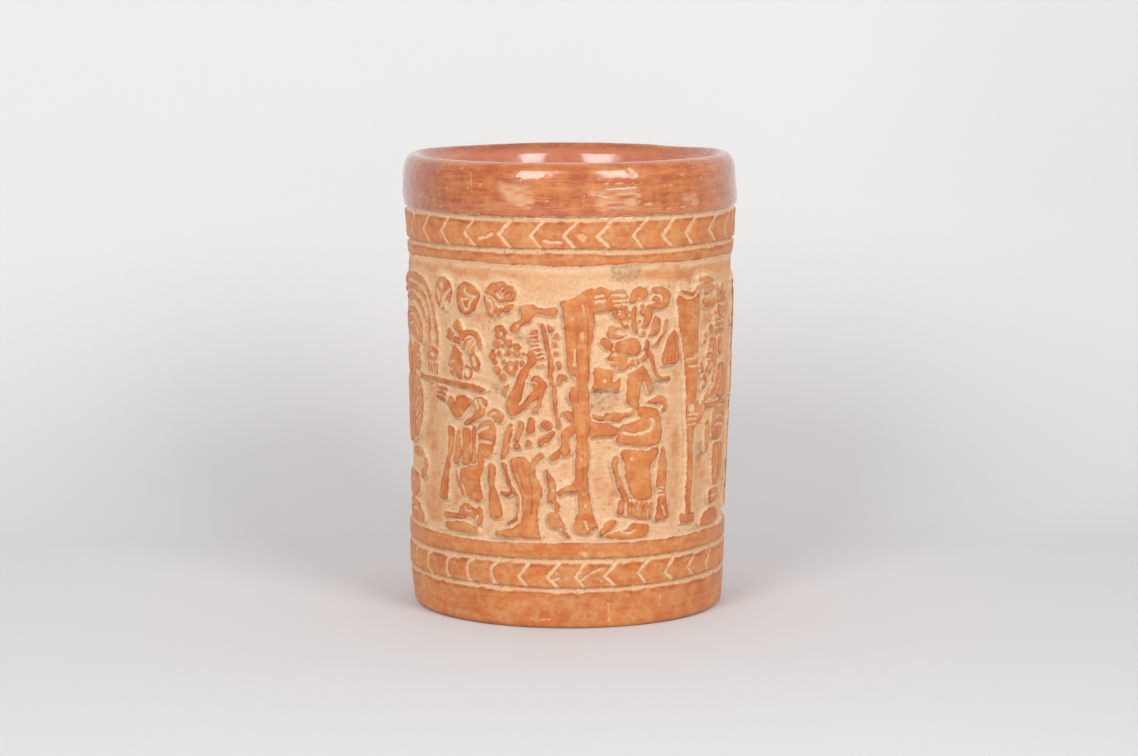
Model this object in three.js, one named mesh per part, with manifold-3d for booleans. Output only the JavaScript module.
import * as THREE from "three";
import { mergeVertices } from "three/addons/utils/BufferGeometryUtils.js";
import Module from "manifold-3d";

// A hand-built clay cylinder vase with incised chevron bands and a carved frieze.
// Millimetres, +Z up, the origin at the middle of the base, the front of the vase towards -Y.
// The wall is a stack of coils that meet at the incised lines. The figures of the frieze are islands of
// the slip-coated outer layer, left standing where the ground round them is cut back to bare clay.

const wasm = await Module();
wasm.setup();

// Heights of the coils, from the base up
const floorThickness = 9;
const footHeight = 17.2;
const lowerChevronHeight = 12;
const lowerBorderHeight = 7.6;
const friezeHeight = 118.8;
const upperBorderHeight = 7.1;
const upperChevronHeight = 13.4;
const rimHeight = 23.9;

// The bore, and the thickness of the wall at each coil from the bore out to the slip-coated surface
const boreRadius = 62.5;
const footWall = 6.8;
const lowerBandWall = 7.4;
const friezeLowWall = 7.5;
const friezeHighWall = 9.9;
const upperBorderWall = 8.9;
const upperChevronWall = 9.5;
const rimWall = 10.6;

// Edges and incised lines
const baseCornerRadius = 3;
const lipHeight = 5.5;
const rimSwellHeight = 6;
const cornerCoilSize = 7;
const cornerCoilEdge = 0.8;
const grooveWidth = 2.2;
const grooveDepth = 1.4;
const borderEdge = 0.5;

// Carving
const reliefDepth = 1.7;
const clearance = 0.3;
const lowerChevronSpacing = 13.7;
const upperChevronSpacing = 14.6;
const chevronReach = 6;
const chevronLineWidth = 1.5;
const chevronLineDepth = 0.9;
const figureFootMargin = 4;
const figureHeadMargin = 4.2;
const sceneGap = 6;

// Faces round a turned wall, and points of the small arcs
const facets = 48;
const arcSteps = 6;
const ovalSteps = 12;

// Heights where one coil stands on the next
const lowerChevronBase = footHeight;
const lowerBorderBase = lowerChevronBase + lowerChevronHeight;
const friezeBase = lowerBorderBase + lowerBorderHeight;
const upperBorderBase = friezeBase + friezeHeight;
const upperChevronBase = upperBorderBase + upperBorderHeight;
const rimBase = upperChevronBase + upperChevronHeight;
const rimTop = rimBase + rimHeight;

// Radii of the slip-coated surface
const footRadius = boreRadius + footWall;
const lowerBandRadius = boreRadius + lowerBandWall;
const friezeLowRadius = boreRadius + friezeLowWall;
const friezeHighRadius = boreRadius + friezeHighWall;
const upperBorderRadius = boreRadius + upperBorderWall;
const upperChevronRadius = boreRadius + upperChevronWall;
const rimRadius = boreRadius + rimWall;

// Finishes
const slip = new THREE.MeshStandardMaterial({ color: 0xd67f50, roughness: 0.5, metalness: 0 });
const rimSlip = new THREE.MeshStandardMaterial({ color: 0xcd7344, roughness: 0.3, metalness: 0 });
const bareClay = new THREE.MeshStandardMaterial({ color: 0xe6bb8e, roughness: 0.85, metalness: 0 });
const innerClay = new THREE.MeshStandardMaterial({ color: 0xd79072, roughness: 0.7, metalness: 0 });

// Solids

function turned(points) {
  const outline = points.map(([radius, height]) => new THREE.Vector2(radius, height));
  const geometry = new THREE.LatheGeometry(outline, facets);
  geometry.rotateX(Math.PI / 2);
  return geometry;
}

function ring(points) {
  return turned([...points, points[0]]);
}

function toSolid(geometry) {
  const loose = geometry.clone();
  loose.deleteAttribute("normal");
  loose.deleteAttribute("uv");
  const merged = mergeVertices(loose, 1e-4);
  const vertProperties = merged.attributes.position.array;
  const triVerts = new Uint32Array(merged.index.array);
  return new wasm.Manifold(new wasm.Mesh({ numProp: 3, vertProperties, triVerts }));
}

function toGeometry(solid) {
  const { vertProperties, triVerts } = solid.getMesh();
  const geometry = new THREE.BufferGeometry();
  geometry.setAttribute("position", new THREE.BufferAttribute(vertProperties, 3));
  geometry.setIndex(new THREE.BufferAttribute(triVerts, 1));
  const flat = geometry.toNonIndexed();
  flat.computeVertexNormals();
  return flat;
}

function piece(name, geometry, material) {
  const mesh = new THREE.Mesh(geometry, material);
  mesh.name = name;
  return mesh;
}

function arc(centreRadius, centreHeight, radius, height, from, to) {
  const curve = new THREE.EllipseCurve(
    centreRadius, centreHeight, radius, height,
    THREE.MathUtils.degToRad(from), THREE.MathUtils.degToRad(to), to < from, 0,
  );
  return curve.getPoints(arcSteps).map((point) => [point.x, point.y]);
}

// An outline on the wall, given as [distance round, height], cut through the wall from a start radius
// outwards. It is extruded straight out along the direction of its own middle.
function wallPrism(outline, middle, start, depth) {
  const shape = new THREE.Shape(outline.map(([across, height]) => new THREE.Vector2(across, height)));
  const geometry = new THREE.ExtrudeGeometry(shape, { depth, bevelEnabled: false, steps: 1 });
  const outward = new THREE.Vector3(Math.sin(middle), -Math.cos(middle), 0);
  const around = new THREE.Vector3(Math.cos(middle), Math.sin(middle), 0);
  const up = new THREE.Vector3(0, 0, 1);
  const place = new THREE.Matrix4().makeBasis(around, up, outward);
  place.setPosition(outward.clone().multiplyScalar(start));
  geometry.applyMatrix4(place);
  return toSolid(geometry);
}

// Coils

function coilProfile(base, top, lowRadius, highRadius, lowGroove, highGroove) {
  const half = grooveWidth / 2;
  const low = lowGroove
    ? [[lowRadius - grooveDepth, base], [lowRadius, base + half]]
    : [[lowRadius - borderEdge, base], [lowRadius, base + borderEdge]];
  const high = highGroove
    ? [[highRadius, top - half], [highRadius - grooveDepth, top]]
    : [[highRadius, top - borderEdge], [highRadius - borderEdge, top]];
  return [[boreRadius, base], ...low, ...high, [boreRadius, top]];
}

function baseSlab() {
  const flat = footRadius - baseCornerRadius;
  return turned([
    [0, 0],
    ...arc(flat, baseCornerRadius, baseCornerRadius, baseCornerRadius, -90, 0),
    [footRadius, floorThickness],
    [0, floorThickness],
  ]);
}

function cornerCoil() {
  const outer = boreRadius - clearance;
  const hollow = cornerCoilSize - cornerCoilEdge;
  return ring([
    [outer, floorThickness],
    [outer, floorThickness + cornerCoilSize],
    ...arc(outer - cornerCoilSize, floorThickness + cornerCoilSize, hollow, hollow, 0, -90),
    [outer - cornerCoilSize, floorThickness],
  ]);
}

function footCoil() {
  return ring([
    [boreRadius, floorThickness],
    [footRadius, floorThickness],
    [footRadius, footHeight - grooveWidth / 2],
    [footRadius - grooveDepth, footHeight],
    [boreRadius, footHeight],
  ]);
}

function rimCoil() {
  const half = rimWall / 2;
  const shoulder = rimTop - lipHeight;
  return ring([
    [boreRadius, rimBase],
    [upperChevronRadius - grooveDepth, rimBase],
    [upperChevronRadius, rimBase + grooveWidth / 2],
    [rimRadius, rimBase + rimSwellHeight],
    ...arc(boreRadius + half, shoulder, half, lipHeight, 0, 180),
  ]);
}

// A band with chevrons cut into it, pointing to the left
function chevronCoil(base, height, radius, spacing) {
  const count = Math.round((2 * Math.PI * radius) / spacing);
  const half = grooveWidth / 2;
  const low = base + half / 2;
  const high = base + height - half / 2;
  const middle = base + height / 2;
  const line = chevronLineWidth / 2;
  const outline = [
    [-chevronReach / 2 - line, middle],
    [chevronReach / 2 - line, low - half],
    [chevronReach / 2 + line, low - half],
    [-chevronReach / 2 + line, middle],
    [chevronReach / 2 + line, high + half],
    [chevronReach / 2 - line, high + half],
  ];
  let solid = toSolid(ring(coilProfile(base, base + height, radius, radius, true, true)));
  for (let index = 0; index < count; index += 1) {
    const middleAngle = ((index + 0.5) * 2 * Math.PI) / count;
    const start = (radius - chevronLineDepth) * Math.cos(Math.PI / facets);
    solid = solid.subtract(wallPrism(outline, middleAngle, start, chevronLineDepth + grooveDepth));
  }
  return toGeometry(solid);
}

// The frieze's drawing, unrolled: [distance round from the front, height above the base], seen from
// outside. It is wrapped once round the wall, and fitted between the margins at the frieze's foot and head.

function oval(across, height, halfWidth, halfHeight) {
  const curve = new THREE.EllipseCurve(across, height, halfWidth, halfHeight, 0, 2 * Math.PI, false, 0);
  const points = curve.getPoints(ovalSteps);
  return points.slice(0, ovalSteps).map((point) => [point.x, point.y]);
}

// A strip of even width along a line
function strip(points, width) {
  const path = points.map(([across, height]) => new THREE.Vector2(across, height));
  const left = [];
  const right = [];
  path.forEach((point, index) => {
    const before = path[Math.max(index - 1, 0)];
    const after = path[Math.min(index + 1, path.length - 1)];
    const along = after.clone().sub(before).normalize();
    const side = new THREE.Vector2(-along.y, along.x).multiplyScalar(width / 2);
    left.push([point.x + side.x, point.y + side.y]);
    right.unshift([point.x - side.x, point.y - side.y]);
  });
  return [...left, ...right];
}

function moved(shapes, distance) {
  return shapes.map((outline) => outline.map(([across, height]) => [across + distance, height]));
}

function mirrored(shapes) {
  return shapes.map((outline) => outline.map(([across, height]) => [-across, height]));
}

const plumedFigure = [
  // long arched plume
  strip([[-104, 143], [-95, 148], [-85, 149.2], [-75, 146], [-70, 141], [-67.5, 132], [-67, 118]], 4.5),
  // bundle of hair behind the head
  [[-104, 141], [-92, 142], [-79, 139], [-73, 131], [-72, 120], [-79, 119], [-84, 127], [-92, 132], [-104, 134]],
  // bead with its fringe, tied to the plume
  oval(-69, 116.5, 3.8, 3.8),
  strip([[-71, 136], [-67, 130]], 5),
  // head, in a plain profile looking right
  [[-100, 134], [-84, 132], [-81.5, 124], [-79.5, 119], [-82, 116.5], [-83.5, 112.5], [-100, 110]],
  // cloak
  [[-104, 114], [-92, 115], [-85, 112], [-80, 105], [-82, 98], [-104, 96]],
  // hatched bag
  oval(-91, 89, 11.5, 14),
  // hook hanging from the bag
  strip([[-92, 76], [-84, 73.5], [-79, 71], [-76.5, 66], [-77.5, 60]], 3),
  // leg and foot
  [[-99, 78], [-86, 78], [-84, 58], [-80, 46], [-80, 41], [-101, 41], [-97, 56]],
];

const leftFigure = [
  // bud, leaves and curl over the headdress
  oval(-52, 129, 2.8, 3.3),
  strip([[-57.5, 125], [-54, 121], [-52, 116]], 3.2),
  strip([[-52, 128], [-52.5, 116]], 2.6),
  strip([[-46.5, 127], [-42, 125.5], [-40, 121], [-43, 117], [-48, 116]], 3),
  // head, in a plain profile looking left
  [[-58, 118], [-58.6, 114.5], [-60.2, 112], [-58.6, 110.8], [-58, 107], [-52, 106], [-46, 107], [-45, 118],
    [-52, 121]],
  // ear ring
  oval(-45, 110.5, 3.6, 3.6),
  // neck, behind the long staff
  [[-56, 98], [-56, 109], [-47, 109], [-47, 98]],
  // long staff
  [[-76, 106.3], [-60, 105.9], [-45, 104.8], [-36.5, 102.2], [-45, 102], [-60, 103.2], [-76, 104]],
  // chest
  [[-59.5, 97.5], [-56, 101.5], [-50, 102.5], [-45, 98.5], [-47, 91], [-50, 85], [-57, 85], [-57, 92]],
  // forearm and knotted hand
  [[-52, 87], [-46, 87], [-36.5, 96], [-37.5, 99.5], [-40, 99.5]],
  strip([[-39, 98], [-35, 94.5], [-32.5, 92.5]], 3.4),
  oval(-32.5, 92.3, 2.4, 2.8),
  // kilt
  [[-59.5, 86], [-47, 89], [-42, 90.5], [-34, 84], [-33.5, 77], [-37, 71], [-44, 69.5], [-56, 70], [-59.5, 76]],
  // sashes
  [[-59, 84], [-53, 84], [-57.5, 66], [-59.5, 53], [-66, 53.5], [-63, 66]],
  [[-39, 76], [-33.5, 78], [-31.8, 62], [-32, 47], [-36.5, 47], [-36.5, 62]],
  // legs and feet
  [[-53, 72], [-40, 72], [-41, 62], [-40.5, 50], [-50, 50], [-52.5, 60]],
  [[-62, 41], [-62, 47], [-53, 48], [-51, 52], [-41, 52], [-40, 41]],
];

const middleFigure = [
  // beaded hair
  [[-34.2, 117], [-33, 124], [-30, 129.5], [-26, 126.5], [-20, 124], [-15.5, 117], [-18, 112], [-22, 107],
    [-24, 100], [-29.5, 104], [-33.5, 110]],
  // raised arm
  strip([[-15, 119.5], [-17, 113], [-20, 108], [-24, 98], [-26, 92]], 4.4),
  // back and shoulder
  strip([[-13, 105.5], [-17, 99.5], [-23, 92]], 5.4),
  oval(-12.8, 105, 2.7, 3),
  // kilt
  [[-30.5, 75], [-29, 87], [-26, 94], [-16, 93], [-10, 91], [-9.5, 84], [-8.5, 79], [-12, 74], [-24, 73]],
  // legs and foot
  [[-25, 75], [-12, 76], [-14.5, 70], [-12.8, 61], [-14.5, 46], [-12.8, 40.8], [-30, 40.8], [-31, 42.5],
    [-22.5, 45], [-21.5, 52], [-24.5, 66]],
  strip([[-29.5, 77], [-27.5, 64], [-24, 56], [-23.5, 49], [-25, 43]], 2.2),
];

const fringedSpear = [
  // shaft
  strip([[-12, 131], [-10.5, 124], [-8.5, 115], [-7.6, 108], [-6.2, 101], [-5.6, 92], [-4.2, 85]], 2.2),
  // fringe
  strip([[-17, 129.6], [-11.5, 129]], 1.6),
  strip([[-17, 126.6], [-11, 126]], 1.6),
  strip([[-17, 123.8], [-10.5, 123.2]], 1.6),
  strip([[-10.5, 126], [-6, 127]], 1.6),
  strip([[-9.5, 119], [-5.6, 120]], 1.6),
  // tassel
  [[-6, 88.5], [-2, 88.5], [-1, 80], [-1.6, 72], [-7, 70], [-6.4, 78]],
  // hanging cord and its weight
  strip([[-4, 73], [-7, 66], [-8.4, 58], [-6.2, 48]], 2.8),
  [[-9.4, 43], [-3, 43], [-3, 50], [-9.4, 50.5]],
];

const centralPost = [
  // shaft
  [[-3.5, 141.5], [-2.5, 138], [-2, 128], [-1.5, 115], [0, 110], [1.6, 105], [0.6, 98], [2, 90], [3, 84],
    [2, 75], [1.5, 65], [3, 58], [3.2, 52], [1, 47], [1, 41], [11, 41], [10, 47], [8, 55], [7, 66], [8, 76],
    [7, 84], [8, 94], [7.5, 110], [8, 120], [9, 128], [9.5, 136], [7, 146]],
  // hand and sleeve resting across its top
  [[-3.5, 141.5], [4, 146.3], [22.5, 146.3], [22.5, 138.5], [16, 138], [6, 134]],
];

const scroll = [
  [[-25, 130.5], [-21.5, 133], [-21, 138], [-17, 140.2], [-12, 138.8], [-6, 139], [-6.2, 135.8], [-12.5, 135.2],
    [-16, 132.6], [-19, 130.8], [-22.5, 129]],
];

const roundGlyph = [
  oval(-59.5, 142.5, 4.8, 7),
];

const boxedGlyph = [
  [[-51.5, 138], [-50, 146], [-46, 148.6], [-41.5, 146.5], [-40, 140], [-42, 135.5], [-48, 134.8]],
];

const leafGlyph = [
  [[-37.5, 143], [-34, 149], [-28, 149.8], [-23.5, 145], [-22.8, 139], [-27, 135.2], [-34, 135.4], [-37.5, 139]],
];

const rightFigure = [
  // plumes and headdress
  [[18, 126], [16.5, 131], [19, 136.4], [24.5, 136.4], [25.5, 146.5], [32, 147.4], [35, 145.8], [43.5, 146],
    [44, 139], [38, 137], [40, 131], [37, 122], [30, 120], [20, 120]],
  // head, in a plain profile looking left
  [[17, 130], [15.8, 124.5], [13.8, 121.5], [15.4, 120.2], [16.2, 116], [22, 113.5], [29, 115], [31, 125]],
  // collar of beads and the long tie of hair
  strip([[21, 113.5], [33, 117.5]], 4),
  strip([[31, 121], [34.5, 117], [36, 112], [38.5, 108], [43, 107]], 3.4),
  // hair falling behind
  [[37, 127], [44.5, 128], [47.2, 121], [47.2, 113.5], [41.5, 113], [40.5, 121]],
  // held box
  [[10.6, 112], [18, 112.2], [23.5, 106], [23.5, 103.4], [10.6, 104]],
  // body
  [[23.5, 114], [31, 115], [35, 108], [35.5, 103], [31, 94], [22, 94], [21, 103]],
  // hands and belt
  [[9.8, 87], [9.8, 93], [22, 94.4], [22, 86.4]],
  // bow and bustle
  strip([[30, 95], [38, 97], [43.5, 97]], 4.4),
  [[20, 79], [20, 96], [31, 97], [38, 94.5], [40, 88], [39, 79]],
  // skirt, legs and fringe
  [[20, 82], [38.5, 82], [36.5, 56], [24.5, 55], [19.5, 74]],
  [[20, 47], [20, 54], [24.5, 57], [36, 57], [36.4, 47]],
  // shoe
  [[13.6, 41], [13.6, 44], [20, 49], [36.4, 49], [34, 41]],
  // sash
  [[36, 84], [43, 80], [43, 70], [44.2, 58], [44.2, 46], [39.4, 47], [41, 57], [39.5, 62], [40, 70], [36, 79]],
];

const tallTorch = [
  [[49, 144.4], [52, 141.2], [56, 140], [59.5, 141.4], [62, 143.6], [62, 115], [61, 100], [61, 86], [59.5, 84],
    [59.5, 48], [62, 47], [62, 42], [53, 42], [53, 47], [56, 48], [56, 84], [54.6, 88], [54.5, 100],
    [53.6, 115], [50, 132]],
];

const farRightFigure = [
  // headdress
  [[65, 146.5], [73, 149.6], [84, 149.4], [92, 144], [94, 124], [78, 119], [67, 124]],
  // head, in a plain profile looking left
  [[70, 128], [68.6, 124], [66.4, 121], [68, 119.6], [69, 115.5], [76, 114], [84, 116], [84, 128]],
  // body and arm
  [[75, 118], [88, 120], [92, 108], [90, 96], [76, 96], [74, 108]],
  strip([[78, 111], [70, 104.5], [66.5, 98], [66, 92]], 4.6),
  oval(66.2, 91.6, 2.8, 3.4),
  // sash and skirt
  strip([[78, 92], [70.5, 79]], 4.4),
  [[75, 99], [90, 100], [92, 86], [90, 74], [76, 74]],
  // legs, fringe and foot
  [[75.5, 77], [90, 77], [88, 53], [76, 53]],
  [[73.6, 48], [73.6, 54], [88, 55], [88, 48]],
  [[66, 41], [66, 44], [74, 50], [88, 50], [86, 41]],
];

// The procession round the wall, from the left of the front to its right and on round the back
const procession = {
  plumed_figure_relief: plumedFigure,
  left_figure_relief: leftFigure,
  round_glyph_relief: roundGlyph,
  boxed_glyph_relief: boxedGlyph,
  leaf_glyph_relief: leafGlyph,
  scroll_relief: scroll,
  middle_figure_relief: middleFigure,
  fringed_spear_relief: fringedSpear,
  central_post_relief: centralPost,
  right_figure_relief: rightFigure,
  tall_torch_relief: tallTorch,
  far_right_figure_relief: farRightFigure,
  back_torch_relief: moved(tallTorch, 52),
  back_left_figure_relief: moved(leftFigure, 196),
  back_round_glyph_relief: moved(roundGlyph, 196),
  back_boxed_glyph_relief: moved(boxedGlyph, 196),
  back_leaf_glyph_relief: moved(leafGlyph, 196),
  back_right_figure_relief: moved(rightFigure, 161),
  back_scroll_relief: moved(scroll, -191),
  back_middle_figure_relief: moved(middleFigure, -191),
  back_spear_relief: moved(fringedSpear, -181),
  back_plumed_figure_relief: moved(mirrored(plumedFigure), -246),
  back_second_torch_relief: moved(tallTorch, -181),
};

const drawnAcross = Object.values(procession).flat(2).map(([across]) => across);
const drawnHeights = Object.values(procession).flat(2).map(([, height]) => height);
const drawnLength = Math.max(...drawnAcross) - Math.min(...drawnAcross);
const drawnFoot = Math.min(...drawnHeights);
const drawnHead = Math.max(...drawnHeights);

// The raised layer: a shell from just above the cut-back ground out to the slip-coated surface
function raisedLayer() {
  const low = friezeBase + clearance;
  const high = friezeBase + friezeHeight - clearance;
  return toSolid(ring([
    [friezeLowRadius - reliefDepth + clearance, low],
    [friezeLowRadius, low],
    [friezeHighRadius, high],
    [friezeHighRadius - reliefDepth + clearance, high],
  ]));
}

function raisedFigure(shapes, layer) {
  const radius = (friezeLowRadius + friezeHighRadius) / 2;
  const turn = (2 * Math.PI - sceneGap / radius) / drawnLength;
  const stretch = (friezeHeight - figureFootMargin - figureHeadMargin) / (drawnHead - drawnFoot);
  const across = shapes.flat().map(([distance]) => distance);
  const middle = (Math.min(...across) + Math.max(...across)) / 2;
  const onWall = ([distance, height]) => [
    radius * Math.sin((distance - middle) * turn),
    friezeBase + figureFootMargin + (height - drawnFoot) * stretch,
  ];
  let figure = null;
  for (const outline of shapes) {
    const prism = wallPrism(outline.map(onWall), middle * turn, boreRadius * 0.8, rimRadius);
    figure = figure ? figure.add(prism) : prism;
  }
  return toGeometry(figure.intersect(layer));
}

// The vase

const vase = new THREE.Group();
vase.add(
  piece("base_slab", baseSlab(), slip),
  piece("corner_coil", cornerCoil(), innerClay),
  piece("foot_coil", footCoil(), slip),
  piece(
    "lower_chevron_coil",
    chevronCoil(lowerChevronBase, lowerChevronHeight, lowerBandRadius, lowerChevronSpacing),
    slip,
  ),
  piece(
    "lower_border_coil",
    ring(coilProfile(lowerBorderBase, friezeBase, lowerBandRadius, lowerBandRadius, true, false)),
    slip,
  ),
  piece(
    "frieze_wall",
    ring([
      [boreRadius, friezeBase],
      [friezeLowRadius - reliefDepth, friezeBase],
      [friezeHighRadius - reliefDepth, upperBorderBase],
      [boreRadius, upperBorderBase],
    ]),
    bareClay,
  ),
  piece(
    "upper_border_coil",
    ring(coilProfile(upperBorderBase, upperChevronBase, upperBorderRadius, upperBorderRadius, false, true)),
    slip,
  ),
  piece(
    "upper_chevron_coil",
    chevronCoil(upperChevronBase, upperChevronHeight, upperChevronRadius, upperChevronSpacing),
    slip,
  ),
  piece("rim_coil", rimCoil(), rimSlip),
);

const layer = raisedLayer();
for (const [name, shapes] of Object.entries(procession)) {
  vase.add(piece(name, raisedFigure(shapes, layer), slip));
}

export default vase;
